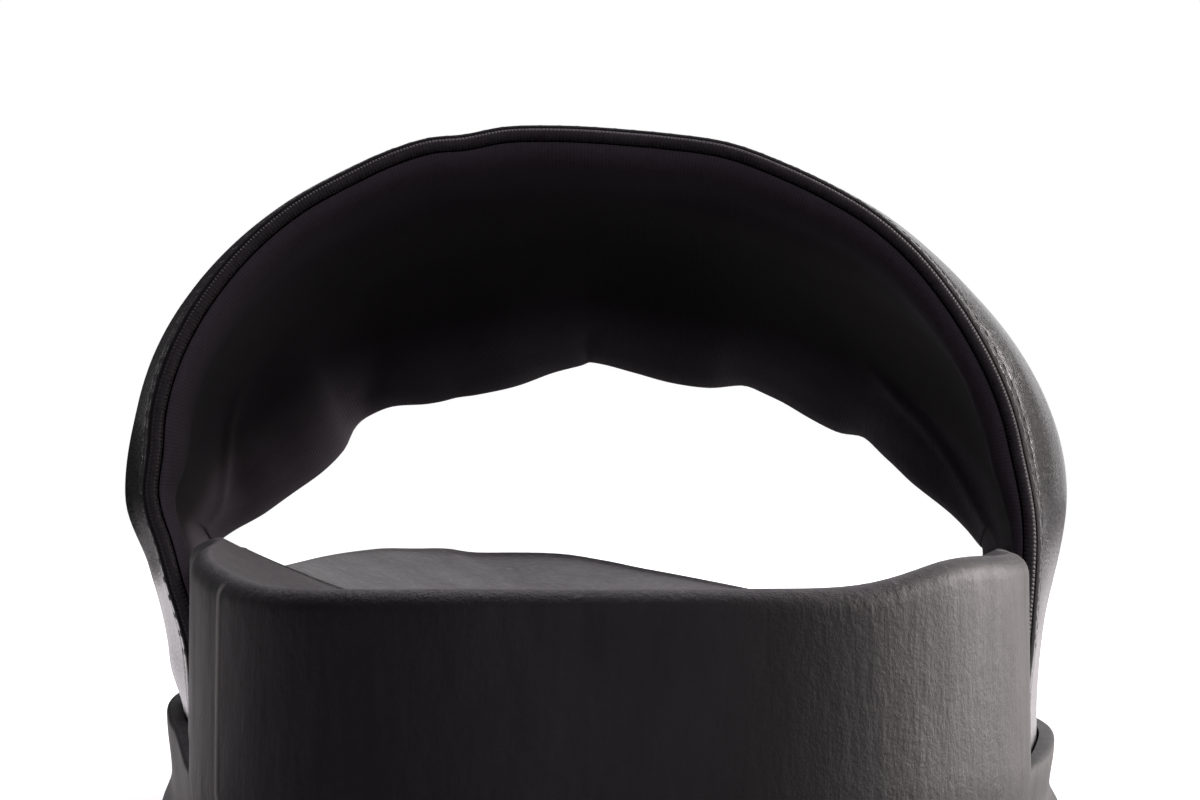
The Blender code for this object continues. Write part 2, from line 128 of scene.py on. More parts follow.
BAND_SECTIONS = (
    {"at": 0.00, "crown": 1.00, "shift": 1.00, "inner_bulge": 1.00, "outer_bulge": 0.47,
     "inner_wide": 1.00, "outer_wide": 1.00, "fullness": 1.98},
    {"at": 0.45, "crown": 0.94, "shift": 0.83, "inner_bulge": 1.02, "outer_bulge": 0.42,
     "inner_wide": 0.95, "outer_wide": 0.95, "fullness": 1.95},
    {"at": 1.00, "crown": 0.635, "shift": 0.17, "inner_bulge": 0.83, "outer_bulge": 1.00,
     "inner_wide": 0.79, "outer_wide": 0.79, "fullness": 1.62},
)

# Looseness of the band's edges: place around the band, millimetres outwards
FRONT_WAVES = (
    (0.18, 0.0), (0.225, -1.1), (0.268, -2.8), (0.300, -3.5), (0.322, -3.5), (0.340, -2.4),
    (0.352, -0.3), (0.372, 0.4), (0.395, -1.3), (0.420, -2.1), (0.445, -2.2), (0.470, -1.05),
    (0.488, -0.45), (0.500, -0.1), (0.512, -0.05), (0.535, -0.9), (0.556, -1.5), (0.576, -1.1),
    (0.594, 0.4), (0.612, 0.2), (0.632, -0.7), (0.648, -0.9), (0.664, -0.1), (0.680, -0.9),
    (0.705, -1.8), (0.745, -1.3), (0.82, 0.0),
)
REAR_WAVES = (
    (0.04, 0.0), (0.08, -0.5), (0.11, -0.9), (0.14, -1.7), (0.16, -1.6), (0.18, -1.3), (0.20, -1.1),
    (0.22, -0.6), (0.25, -0.2), (0.30, 0.1), (0.36, 0.4), (0.396, 0.3), (0.42, 0.5), (0.44, 0.5),
    (0.458, 0.0), (0.478, 0.2), (0.50, 0.1), (0.53, 0.1), (0.55, 0.35), (0.575, 0.8), (0.60, 0.55),
    (0.62, 0.35), (0.645, 0.1), (0.67, -0.5), (0.70, -1.4), (0.73, -2.0), (0.76, -2.2), (0.80, -2.1),
    (0.83, -1.8), (0.86, -1.3), (0.89, -0.6), (0.93, 0.0),
)
# Fullness of the sides between the edges: place around the band, millimetres outwards
SIDE_WAVES = (
    (0.03, 0.2), (0.06, 1.3), (0.081, 1.0), (0.10, 0.5), (0.118, 0.0), (0.137, -0.5), (0.17, -0.3),
    (0.21, -0.2), (0.26, 0.0), (0.66, 0.0), (0.70, 0.3), (0.73, 0.6), (0.77, 0.8), (0.82, 0.8),
    (0.86, 0.5), (0.91, 0.0),
)
# Where the loose front of the band begins, across it, at each place around
FRONT_ONSETS = (
    (0.14, 0.76), (0.18, 0.78), (0.22, 0.76), (0.25, 0.69), (0.285, 0.53), (0.34, 0.45), (0.62, 0.45),
    (0.66, 0.62), (0.70, 0.70), (0.757, 0.78), (0.80, 0.76), (0.84, 0.72), (0.88, 0.70),
)
# Shares of the band's width or girth over which its looseness comes and goes
REAR_WAVE_REACH = 0.30
FRONT_WAVE_FOOT = 0.10
FRONT_WAVE_RUN = 0.08
SIDE_WAVE_REAR_RUN = 0.18
SIDE_WAVE_FRONT_RUN = 0.30

MILLIMETRE = 0.001

# Long folds of the lining: where each begins, its run-in, where it ends and its run-out, all around
LONG_FOLDS = ((0.14, 0.03, 0.31, 0.04), (0.64, 0.04, 0.86, 0.03))
FOLD_AHEAD = 0.035
FOLD_WIDTH = 0.030
FOLD_RISE = 0.00035

# Creases that run back from the puckered front edge: place around, how far they run, their slant
PUCKERS = (
    (0.354, 0.30, 0.10), (0.500, 0.22, 0.02), (0.597, 0.26, -0.08), (0.664, 0.24, -0.10),
    (0.41, 0.12, 0.04),
)
PUCKER_RISE = 0.0007
PUCKER_WIDTH = 0.006
PUCKER_SPREAD = 0.02

# Sole details too fine for the solids
TRAY_FOOT_FLARE = 0.4 * SIDE_FLARE
TRAY_SIDE_FLARE = 0.7 * SIDE_FLARE
TRAY_WAIST_SHARE = 0.42
FOOT_STEP = 0.0004
WALL_DRAFT = 0.0002
EDGE_INSET_SHARE = 0.9

# The mould's parting line up the inner side of the heel
PARTING_Y = 0.0203
PARTING_WIDTH = 0.00040
PARTING_RISE = 0.00010
PARTING_STEP = 0.0002
PARTING_POINTS = 4

# Fineness of the skins
PLAN_STEPS = 130
PLAN_SAMPLES = 400
TRAY_WALL_STEPS = 14
TRAY_ROUND_STEPS = 4
FOOTBED_WALL_STEPS = 12
FOOTBED_ROUND_STEPS = 8
FOOTBED_DISH_STEPS = 26
BAND_LEG_STEPS = 30
BAND_ARCH_STEPS = 200
OUTER_MIDDLE_STEPS = 22
LINING_MIDDLE_STEPS = 36
HIDDEN_MIDDLE_STEPS = 5
MERGE_DISTANCE = 1e-6

# How far from the band's edges its middle begins, where rows are spread evenly
MIDDLE_START = 0.018

# Stitches: name, distance from the edge, whether that is the front edge
STITCH_ROWS = (
    ("rear_edge_stitches", 0.00205, False), ("rear_second_stitches", 0.0042, False),
    ("front_edge_stitches", 0.00205, True), ("front_second_stitches", 0.0042, True),
)
STITCH_PITCH = 0.0021
STITCH_LENGTH = 0.0015
STITCH_RADIUS = 0.00017
STITCH_SINK = 0.00009
STITCHED_FROM = 0.075
STITCHED_SPAN = 0.85
STITCH_SAMPLES = 1600

# Colours and finishes
# In both foams the side tone is a painted highlight, lighter and browner, for walls that face sideways.
FOOTBED_FOAM = {
    "dark": (0.0075, 0.0065, 0.0075), "light": (0.0180, 0.0160, 0.0180),
    "side": (0.036, 0.0325, 0.0295), "roughness": 0.50,
}
TRAY_FOAM = {
    "dark": (0.0110, 0.0100, 0.0108), "light": (0.0260, 0.0240, 0.0250),
    "side": (0.042, 0.0390, 0.0365), "roughness": 0.52,
}
EDGE_TAPE = {
    "dark": (0.022, 0.0195, 0.022), "light": (0.085, 0.0770, 0.085),
    "pitch": 0.00042, "roughness": 0.42, "rib_depth": 0.00016,
}
# The lining's third tone is a painted highlight: paler on its rolled rear edge and near its front edge.
LINING_CLOTH = {
    "dark": (0.0125, 0.0088, 0.0130), "light": (0.0215, 0.0160, 0.0224),
    "pitch": 0.00042, "roughness": 0.85, "rib_depth": 0.00003, "painted_highlight": (0.105, 0.088, 0.108),
}
# A painted highlight: the pale line up the inner heel along the mould's parting line.
PARTING_LINE_HIGHLIGHT = (0.300, 0.285, 0.265)
SPECK_COLOUR = (0.075, 0.070, 0.075)
WHITE = (1.0, 1.0, 1.0)
BLACK = (0.005, 0.005, 0.005)

# Lights: name, place, target, width and height, radiance, colour
LIGHTS = (
    ("backdrop", (0.18, 1.30, 0.43), (0.0, 0.0, 0.05), (0.86, 0.86), 1.20, WHITE),
    ("side_box", (0.87, 0.22, 0.30), (0.03, -0.10, 0.04), (0.80, 0.60), 9.3, (1.0, 0.925, 0.91)),
    ("top_box", (0.0, 0.35, 1.00), (0.0, 0.10, 0.0), (1.0, 1.1), 2.3, (1.0, 0.93, 1.0)),
    ("left_strip", (-0.75, 0.75, 0.25), (-0.03, -0.10, 0.03), (0.12, 0.50), 1.0, WHITE),
    ("front_box", (0.0, -1.25, 0.40), (0.0, 0.0, 0.05), (1.6, 0.8), 0.55, (1.0, 0.90, 1.0)),
)
# Dark cards: name, nearest and farthest X, their Y, lowest and highest Z
DARK_CARDS = (
    ("inner_card", -0.0605, -0.30, 0.03, 0.0286, 0.052),
    ("outer_card", 0.0690, 0.118, 0.02, 0.0326, 0.080),
)

# The floor. Each run gives two places, and the value at each of them
FLOOR_RADIUS = 2.2
FLOOR_SEEN_NEAR = (-0.15, 0.05, 0.30, 0.52)
FLOOR_SEEN_FAR = (0.16, 0.60, 0.0, 0.70)
FLOOR_GLOW_START = (-0.05, 0.10, 0.0, 1.1)
FLOOR_GLOW_END = (0.48, 0.68, 1.0, 0.0)
FLOOR_FADE = (0.90, 2.10, 1.0, 0.0)
FLOOR_TINT = (1.0, 0.94, 0.98)
FLOOR_TONE, FLOOR_TONE_SEEN = 0.30, 0.85
WORLD_TINT = (1.0, 0.90, 1.0)
WORLD_LIGHT, WORLD_LIGHT_SEEN = 0.03, 1.0

# The photograph's camera
CAMERA_DISTANCE = 0.300
CAMERA_HEIGHT = 0.0455
FOCAL_PIXELS = 3769.0
FRAME_WIDTH, FRAME_HEIGHT = 1200, 800
AXIS_X, AXIS_Y = 610.0, 464.0
SENSOR_WIDTH = 36.0
CLIP_START = 0.01


def clamp(value, low=0.0, high=1.0):
    return max(low, min(high, value))


def mix(a, b, share):
    return a + (b - a) * share


def ease(share):
    share = clamp(share)
    return share * share * (3 - 2 * share)


def ridge(value, centre, width):
    return math.exp(-(((value - centre) / width) ** 2))


def curve(points, at):
    """A smooth curve through points of (place, value), level at both ends."""
    last = len(points) - 1
    i = next((k for k in range(last) if at < points[k + 1][0]), last - 1)

    def slope(k):
        if k in (0, last):
            return 0.0
        return (points[k + 1][1] - points[k - 1][1]) / (points[k + 1][0] - points[k - 1][0])

    (start, a), (end, b) = points[i], points[i + 1]
    span = end - start
    t = clamp((at - start) / span)
    return (
        (2 * t**3 - 3 * t**2 + 1) * a
        + (t**3 - 2 * t**2 + t) * span * slope(i)
        + (3 * t**2 - 2 * t**3) * b
        + (t**3 - t**2) * span * slope(i + 1)
    )


FALL = [(row[0], row[1]) for row in FOOTBED]
RISES = {INNER: [(row[0], row[2]) for row in FOOTBED], OUTER: [(row[0], row[3]) for row in FOOTBED]}
STATIONS = {
    side: [(at * SOLE_LENGTH, side * width * share) for at, width, share in PLAN[side]] for side in PLAN
}


def plan_x(side, y):
    stations = STATIONS[side]
    heel_y, heel_x = stations[0]
    ball_y, ball_x = stations[-1]
    if y < heel_y:
        reach = clamp((heel_y - y) / heel_y)
        return heel_x * (1 - reach**HEEL_ROUNDNESS) ** (1 / HEEL_ROUNDNESS)
    if y > ball_y:
        roundness = INNER_TOE_ROUNDNESS if side == INNER else OUTER_TOE_ROUNDNESS
        reach = clamp((y - ball_y) / (SOLE_LENGTH - ball_y))
        return mix(-TOE_SWING, ball_x, (1 - reach**roundness) ** (1 / roundness))
    return curve(stations, y)


def spine_x(y):
    return (plan_x(INNER, y) + plan_x(OUTER, y)) / 2


def spring_z(y):
    return TOE_SPRING * clamp((y / SOLE_LENGTH - SPRING_START) / (1 - SPRING_START)) ** 2


def tray_z(y):
    return TRAY_HEIGHT + spring_z(y)


def floor_z(y):
    return mix(HEEL_SEAT_HEIGHT, FOREFOOT_HEIGHT, curve(FALL, y / SOLE_LENGTH)) + spring_z(y)


def rim_rise(side, y):
    return RIM_RISE * curve(RISES[side], y / SOLE_LENGTH)


def rim_z(side, y):
    return floor_z(y) + rim_rise(side, y)


def band_foot_span(side):
    k = 0 if side == INNER else 2
    return REAR_EDGE[k] * SOLE_LENGTH, FRONT_EDGE[k] * SOLE_LENGTH


def ledge_share(side, y):
    back, front = band_foot_span(side)
    back, front = back - SLOT_END_RUN - SLOT_END_ROOM, front + SLOT_END_RUN + SLOT_END_ROOM
    return ease((y - back + LEDGE_RUN) / LEDGE_RUN) * ease((front + LEDGE_RUN - y) / LEDGE_RUN)


def slot_share(side, y):
    back, front = band_foot_span(side)
    back, front = back - SLOT_END_ROOM, front + SLOT_END_ROOM
    run = SLOT_END_RUN
    return ease((y - back + run) / run) * ease((front + run - y) / run)


def tray_rim_z(side, y):
    high = INNER_RIM_RISE if side == INNER else OUTER_RIM_RISE
    return tray_z(y) + mix(LOW_RIM_RISE, high, ledge_share(side, y))


def footbed_offset(side, y):
    return -LEDGE * ledge_share(side, y)


def tray_wall_offset(side, y):
    clear = footbed_offset(side, y) + GAP
    return min(mix(clear, -TRAY_RIM, slot_share(side, y)), -TRAY_RIM)


class Plan:
    """The sole's outline as points from heel tip to toe tip inside, and back outside."""

    def __init__(self, steps):
        ys = [SOLE_LENGTH * (1 - math.cos(math.pi * i / steps)) / 2 for i in range(steps + 1)]
        ys = [y for y in ys if abs(y - PARTING_Y) > (PARTING_POINTS + 0.5) * PARTING_STEP]
        ys += [PARTING_Y + k * PARTING_STEP for k in range(-PARTING_POINTS, PARTING_POINTS + 1)]
        ys.sort()
        self.sides = [INNER] * len(ys) + [OUTER] * (len(ys) - 2)
        self.ys = ys + ys[-2:0:-1]
        self.points = [Vector((plan_x(s, y), y)) for s, y in zip(self.sides, self.ys)]
        self.outward = []
        count = len(self.points)
        for i in range(count):
            along = (self.points[(i + 1) % count] - self.points[i - 1]).normalized()
            self.outward.append(Vector((-along.y, along.x)))

    def ring(self, offset, height, inwards=0.0):
        loop = []
        for side, y, point, outward in zip(self.sides, self.ys, self.points, self.outward):
            place = point + outward * offset(side, y)
            spine_y = clamp(y, SPINE_BACK * SOLE_LENGTH, SPINE_FRONT * SOLE_LENGTH)
            place = place.lerp(Vector((spine_x(spine_y), spine_y)), inwards)
            loop.append(Vector((place.x, place.y, height(side, y, place.y))))
        return loop


def last_shift():
    """From the last's frame to the CAD's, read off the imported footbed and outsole."""
    low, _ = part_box("outsole")
    ys = [SOLE_LENGTH * k / PLAN_SAMPLES for k in range(PLAN_SAMPLES + 1)]
    widest_in = min(plan_x(INNER, y) for y in ys) - SIDE_FLARE
    return Vector((low[0] - widest_in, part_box("footbed")[0][1], 0.0))


SHIFT = last_shift()


def linked(name, data):
    obj = bpy.data.objects.new(name, data)
    bpy.context.scene.collection.objects.link(obj)
    return obj


def build(name, maker, material, replaced=(), smooth_angle=60):
    """One mesh piece that rides on the shoe."""
    bm = bmesh.new()
    maker(bm)
    bmesh.ops.remove_doubles(bm, verts=bm.verts, dist=MERGE_DISTANCE)
    bmesh.ops.recalc_face_normals(bm, faces=bm.faces)
    bmesh.ops.translate(bm, verts=bm.verts, vec=SHIFT)
    mesh = bpy.data.meshes.new(name)
    bm.to_mesh(mesh)
    bm.free()
    mesh.shade_smooth()
    mesh.set_sharp_from_angle(angle=math.radians(smooth_angle))
    for one in material if isinstance(material, (list, tuple)) else [material]:
        mesh.materials.append(one)
    obj = linked(name, mesh)
    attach(obj, "root")
    if replaced:
        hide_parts(*replaced)
    return obj


def bridge(bm, rings, closed_ends=False, uv=None):
    """Faces between each loop of points and the next. uv gives each point's place on a sheet."""
    layer = bm.loops.layers.uv.verify() if uv else None
    loops = [[bm.verts.new(p) for p in ring] for ring in rings]
    count = len(loops[0])
    for r, (a, b) in enumerate(zip(loops, loops[1:])):
        for i in range(count):
            j = (i + 1) % count
            face = bm.faces.new((a[i], a[j], b[j], b[i]))
            if layer:
                places = ((r, i), (r, i + 1), (r + 1, i + 1), (r + 1, i))
                for loop, (row, column) in zip(face.loops, places):
                    loop[layer].uv = uv(row, column)
    if closed_ends:
        bm.faces.new(loops[0])
        bm.faces.new(list(reversed(loops[-1])))


def constant(value):
    return lambda side, y: value


def along_point(height, lift=0.0):
    return lambda side, wall_y, y: height(y) + lift


# The sole

def midsole_levels():
    under = along_point(spring_z, OUTSOLE_THICKNESS + GAP)
    floor = along_point(tray_z)
    rim_top = lambda s, wall_y, y: tray_rim_z(s, wall_y)

    def wall(share):
        """The side between its foot and its rounded top, drawn in at the waist."""
        def height(s, wall_y, y):
            low = spring_z(y) + OUTSOLE_THICKNESS + GAP
            return mix(low, tray_rim_z(s, wall_y) - TRAY_RIM_ROUND, share)
        waist = TRAY_WAIST_SHARE
        if share < waist:
            offset = mix(TRAY_SIDE_FLARE, -SIDE_WAIST, ease(share / waist))
        else:
            offset = mix(-SIDE_WAIST, 0.0, ease((share - waist) / (1 - waist)))
        return constant(offset), height

    levels = [
        (constant(-CORE_INSET), under, 1.0),
        (constant(-CORE_INSET), under, 0.5),
        (constant(-CORE_INSET), under),
        (constant(TRAY_FOOT_FLARE), under),
    ]
    levels += [wall(k / TRAY_WALL_STEPS) for k in range(TRAY_WALL_STEPS + 1)]
    for k in range(1, TRAY_ROUND_STEPS + 1):
        turn = math.pi / 2 * k / TRAY_ROUND_STEPS
        inset = TRAY_RIM_ROUND * (1 - math.cos(turn))
        drop = TRAY_RIM_ROUND * (1 - math.sin(turn))
        levels.append((constant(-inset), lambda s, wall_y, y, drop=drop: tray_rim_z(s, wall_y) - drop))
    levels += [
        (tray_wall_offset, rim_top),
        (tray_wall_offset, floor),
        (constant(-CORE_INSET), floor),
        (constant(-CORE_INSET), floor, 0.5),
        (constant(-CORE_INSET), floor, 1.0),
    ]
    return levels


def footbed_levels():
    under = along_point(tray_z, GAP)
    above_rim = lambda s, wall_y, y: tray_rim_z(s, wall_y) + GAP
    radius = FOOTBED_EDGE_RADIUS

    def foot(side, y):
        return min(footbed_offset(side, y), -TRAY_RIM - GAP)

    def wall(less):
        def offset(side, y):
            rise = PARTING_RISE * ridge(y, PARTING_Y, PARTING_WIDTH) if side == INNER else 0.0
            return footbed_offset(side, y) - less + rise
        return offset

    def climb(share):
        def height(s, wall_y, y):
            return mix(tray_rim_z(s, wall_y) + GAP, rim_z(s, wall_y) - radius, share)
        return height

    def near_top(below):
        return lambda s, wall_y, y: rim_z(s, wall_y) - below

    def dished(inwards):
        return lambda s, wall_y, y: floor_z(y) + rim_rise(s, wall_y) * (1 - inwards) ** FOOTBED_DISH

    levels = [
        (constant(-CORE_INSET), under, 1.0),
        (constant(-CORE_INSET), under, 0.5),
        (constant(-CORE_INSET), under),
        (foot, under),
        (foot, above_rim),
        (wall(FOOT_STEP), above_rim),
    ]
    for k in range(FOOTBED_WALL_STEPS + 1):
        share = k / FOOTBED_WALL_STEPS
        levels.append((wall(FOOT_STEP * (1 - ease(share * 6)) + WALL_DRAFT * share), climb(share)))
    for k in range(1, FOOTBED_ROUND_STEPS + 1):
        turn = math.pi / 2 * k / FOOTBED_ROUND_STEPS
        inset = radius * (1 - math.cos(turn))
        drop = radius * (1 - math.sin(turn))
        levels.append((wall(WALL_DRAFT + inset * EDGE_INSET_SHARE), near_top(drop)))
    for k in range(1, FOOTBED_DISH_STEPS + 1):
        inwards = (k / FOOTBED_DISH_STEPS) ** 1.5
        levels.append((wall(radius), dished(inwards), inwards))
    return levels


def stacked(plan, levels):
    return lambda bm: bridge(bm, [plan.ring(*level) for level in levels])


# The band

def band_section(across):
    a, b, c = BAND_SECTIONS
    u, v, w = a["at"], b["at"], c["at"]
    la = (across - v) * (across - w) / ((u - v) * (u - w))
    lb = (across - u) * (across - w) / ((v - u) * (v - w))
    lc = (across - u) * (across - v) / ((w - u) * (w - v))
    return {key: la * a[key] + lb * b[key] + lc * c[key] for key in a}


def edge_y(edge, around):
    inner, crown, outer = (share * SOLE_LENGTH for share in edge)
    lift = math.sin(math.pi * clamp(around)) ** EDGE_SWEEP
    return mix(inner, outer, ease(around)) + (crown - (inner + outer) / 2) * lift


def band_surface(around, across):
    y = mix(edge_y(REAR_EDGE, around), edge_y(FRONT_EDGE, around), across)
    section = band_section(across)
    side = INNER if around < 0.5 else OUTER
    name = "inner" if side == INNER else "outer"
    foot_x = plan_x(side, y) - side * (TRAY_RIM + GAP)
    wide_x = foot_x + side * section[name + "_bulge"] * BAND_BULGE
    wide_z = section[name + "_wide"] * BAND_WIDEST_HEIGHT
    from_foot = around if side == INNER else 1 - around
    if from_foot < LEG_SHARE:
        z = mix(tray_z(y) + GAP, wide_z, from_foot / LEG_SHARE)
        leaves = tray_rim_z(side, y)
        flare = clamp((z - leaves) / (wide_z - leaves)) ** FLARE_ONSET
        return Vector((mix(foot_x, wide_x, ease(flare)), y, z))
    turn = math.pi / 2 * (from_foot - LEG_SHARE) / (0.5 - LEG_SHARE)
    power = 2 / section["fullness"]
    crown_x = spine_x(y) - section["shift"] * BAND_CROWN_SHIFT
    clear = section["crown"] * BAND_CROWN_HEIGHT
    crown_z = floor_z(y) + clear + SHELL_THICKNESS + LINING_THICKNESS
    return Vector((
        mix(crown_x, wide_x, max(math.cos(turn), 0.0) ** power),
        y,
        mix(wide_z, crown_z, math.sin(turn) ** power),
    ))


def band_normal(around, across):
    step = 0.010
    low, high = clamp(around - step), clamp(around + step)
    along = band_surface(high, across) - band_surface(low, across)
    forward = band_surface(around, across + step) - band_surface(around, across - step)
    return along.cross(forward).normalized()


def band_looseness(around, across):
    """How far the whole band stands out from its even shape, in metres."""
    onset = curve(FRONT_ONSETS, around)
    front = curve(FRONT_WAVES, around) * ease((across - onset) / (1 - onset))
    front *= ease((min(around, 1 - around) - FRONT_WAVE_FOOT) / FRONT_WAVE_RUN)
    rear = curve(REAR_WAVES, around) * ease(1 - across / REAR_WAVE_REACH)
    side = curve(SIDE_WAVES, around) * ease(across / SIDE_WAVE_REAR_RUN)
    side *= ease((1 - across) / SIDE_WAVE_FRONT_RUN)
    return (front + rear + side) * MILLIMETRE


def band_padding(point, around):
    side = INNER if around < 0.5 else OUTER
    return ease((point.z - rim_z(side, point.y) - PAD_START) / PAD_RUN)


def band_width(around):
    return edge_y(FRONT_EDGE, around) - edge_y(REAR_EDGE, around)


def band_stations():
    leg = [LEG_SHARE * i / BAND_LEG_STEPS for i in range(BAND_LEG_STEPS)]
    arch = [mix(LEG_SHARE, 1 - LEG_SHARE, i / BAND_ARCH_STEPS) for i in range(BAND_ARCH_STEPS + 1)]
    return leg + arch + [1 - x for x in reversed(leg)]


def puff_depth(distance, padding):
    return BAND_PUFF * padding * (1 - ease(distance / PUFF_RUN))


def both_edges(rows):
    rear = [(row[0], row[1], row[2], False) for row in rows]
    front = [(row[0], row[1], row[2], True) for row in rows if row[1] < 1]
    return rear + list(reversed(front))


def band_lengths(stations):
    """Distance run round the band's middle at each station."""
    total, lengths, before = 0.0, [], None
    for around in stations:
        here = band_surface(around, 0.5)
        total += (here - before).length if before else 0.0
        lengths.append(total)
        before = here
    return lengths


def band_place(around, across, depth):
    """A point this deep under the band's outer surface, loose edges and all."""
    point, normal = band_surface(around, across), band_normal(around, across)
    return point + normal * (band_looseness(around, across) - depth)


def swept_band(rows, depth_at, relief=None, trim=None):
    """Sweeps a closed profile round the band, with sheet coordinates of run around and distance across.

    relief adds to the depth at a place, and trim gives the material's number for a column of faces."""
    stations = band_stations()
    run = band_lengths(stations)
    across_m = []

    def maker(bm):
        rings = []
        for around in stations:
            width = band_width(around)
            ring, reach = [], []
            for distance, share, depth, from_front in rows:
                place = (distance + share * (width / 2 - distance)) / width
                across = 1 - place if from_front else place
                padding = band_padding(band_surface(around, across), around)
                deep = depth_at(max(place * width, 0.0), depth, padding)
                if relief:
                    deep += relief(around, across, place * width, depth, padding)
                ring.append(band_place(around, across, deep))
                reach.append(across * width)
            rings.append(ring)
            across_m.append(reach)
        bridge(bm, rings, closed_ends=True, uv=lambda r, i: (run[r], across_m[r][i % len(rows)]))
        if trim:
            bm.faces.ensure_lookup_table()
            count = len(rows)
            for k, face in enumerate(bm.faces):
                if k < (len(stations) - 1) * count:
                    face.material_index = trim(k % count)

    return maker


def middle_places(steps):
    return [(MIDDLE_START, k / steps) for k in range(1, steps + 1)]


def shell_rows():
    """Rows of the leather shell: distance from the edge, share of the middle, depth."""
    outer = [
        (0.00035, 0.0, 0.00026), (0.0005, 0.0, 0.00010), (0.0008, 0.0, 0.00002), (0.0013, 0.0, 0.0),
        (0.0016, 0.0, 0.00003), (0.0019, 0.0, 0.00013), (0.0022, 0.0, 0.00013), (0.0025, 0.0, 0.00003),
        (0.0030, 0.0, 0.0), (0.0037, 0.0, 0.0), (0.0040, 0.0, 0.00008), (0.0044, 0.0, 0.00008),
        (0.0047, 0.0, 0.0), (0.0060, 0.0, 0.0), (0.0075, 0.0, 0.0), (0.0095, 0.0, 0.0),
        (0.0120, 0.0, 0.0), (0.0150, 0.0, 0.0), (MIDDLE_START, 0.0, 0.0),
    ]
    outer += [(d, s, 0.0) for d, s in middle_places(OUTER_MIDDLE_STEPS)]
    lip = [
        (0.00046, 0.0, 0.00032), (0.00046, 0.0, 0.00038), (0.00012, 0.0, 0.00046),
        (-0.0001, 0.0, 0.00066), (-0.0002, 0.0, 0.00090), (-0.0002, 0.0, 0.00115),
        (-0.0001, 0.0, 0.00136), (0.0001, 0.0, 0.00153), (0.0003, 0.0, 0.00164),
        (0.0007, 0.0, 0.00172), (0.0026, 0.0, 0.00185),
    ]
    inner = [(0.0045, 0.0), (0.0090, 0.0), (MIDDLE_START, 0.0)] + middle_places(HIDDEN_MIDDLE_STEPS)
    inner = lip + [(d, s, SHELL_THICKNESS) for d, s in inner]
    return both_edges(outer), both_edges(inner)


SHELL_OUTER, SHELL_INNER = shell_rows()
SHELL_ROWS = SHELL_OUTER + list(reversed(SHELL_INNER))
# Columns of faces on each folded edge, and on each of the leather's rims beside it
LIP_COLUMNS = 10
RIM_COLUMNS = 3


def shell_depth(distance, depth, padding):
    return depth + puff_depth(distance, padding)


def shell_relief(around, across, distance, depth, padding):
    """Gentle unevenness of the leather over its padding, only on the outer face."""
    outer_face = 0.0003
    if depth > outer_face:
        return 0.0
    p = band_surface(around, across)
    swell = noise.noise(Vector((p.x, p.y, p.z)) * 38.0) * 0.00035
    ripple = noise.noise(Vector((p.x * 60.0, p.y * 150.0, p.z * 60.0))) * 0.00012
    return (swell + ripple) * ease(distance / 0.010) * padding


def lining_rows():
    """Rows of the padded lining: distance from the edge, share of the middle, share of its thickness."""
    start = 0.0007
    face = [
        (start, 0.0, 0.04), (start + 0.0001, 0.0, 0.10), (start + 0.0003, 0.0, 0.17),
        (start + 0.0006, 0.0, 0.24), (start + 0.0011, 0.0, 0.32), (start + 0.0018, 0.0, 0.41),
        (start + 0.0028, 0.0, 0.50), (0.0052, 0.0, 0.60), (0.0066, 0.0, 0.69), (0.0082, 0.0, 0.775),
        (0.0100, 0.0, 0.855), (0.0125, 0.0, 0.93), (0.0150, 0.0, 0.978), (MIDDLE_START, 0.0, 1.0),
    ]
    face += [(d, s, 1.0) for d, s in middle_places(LINING_MIDDLE_STEPS)]
    seat = [(start, 0.0, 0.0), (0.0060, 0.0, 0.0), (0.0100, 0.0, 0.0), (MIDDLE_START, 0.0, 0.0)]
    seat += [(d, s, 0.0) for d, s in middle_places(HIDDEN_MIDDLE_STEPS)]
    return both_edges(seat) + list(reversed(both_edges(face)))


def lining_depth(distance, share, padding):
    thin = LINING_FOOT_THICKNESS * min(2 * share, 1.0)
    seat = SHELL_THICKNESS - 0.0001 + 0.0004 * ease(distance / 0.008) + puff_depth(distance, padding)
    return seat + mix(thin, LINING_THICKNESS * share, padding)


def fold_line(around, across):
    """The narrow rise along each long fold, where the loose front begins."""
    line = curve(FRONT_ONSETS, around) + FOLD_AHEAD
    share = max(
        ease((around - start) / run_in) * ease((end - around) / run_out)
        for start, run_in, end, run_out in LONG_FOLDS
    )
    return FOLD_RISE * ridge(across, line, FOLD_WIDTH) * share


def pucker_lines(around, across):
    rise = 0.0
    for place, length, slant in PUCKERS:
        back = 1 - across
        if back < length:
            centre = place + slant * back
            width = PUCKER_WIDTH + PUCKER_SPREAD * back
            rise += PUCKER_RISE * (1 - back / length) * ridge(around, centre, width)
    return rise


def lining_relief(around, across, distance, share, padding):
    """Soft folds of the padded lining."""
    if share <= 0.0:
        return 0.0
    p = band_surface(around, across)
    soft = noise.noise(Vector((p.x, p.y, p.z)) * 30.0) * 0.00040
    small = noise.noise(Vector((p.x * 140.0, p.y * 60.0, p.z * 140.0))) * 0.00010
    held = ease(distance / 0.012)
    folds = fold_line(around, across) - pucker_lines(around, across)
    return (folds + (soft + small) * held) * padding * share


# Stitches

def capsule(bm, centre, along, up, length, radius, sides=8, steps=6):
    """A short rounded thread that dips at both ends."""
    side = along.cross(up).normalized()
    rings = []
    for i in range(steps + 1):
        t = i / steps * 2 - 1
        r = radius * max(1 - abs(t) ** 3.0, 0.10) ** 0.5
        middle = centre + along * (t * length / 2) - up * (radius * 1.3 * abs(t) ** 2.5)
        ring = []
        for j in range(sides):
            turn = 2 * math.pi * j / sides
            ring.append(middle + (side * math.cos(turn) + up * math.sin(turn)) * r)
        rings.append(ring)
    bridge(bm, rings, closed_ends=True)


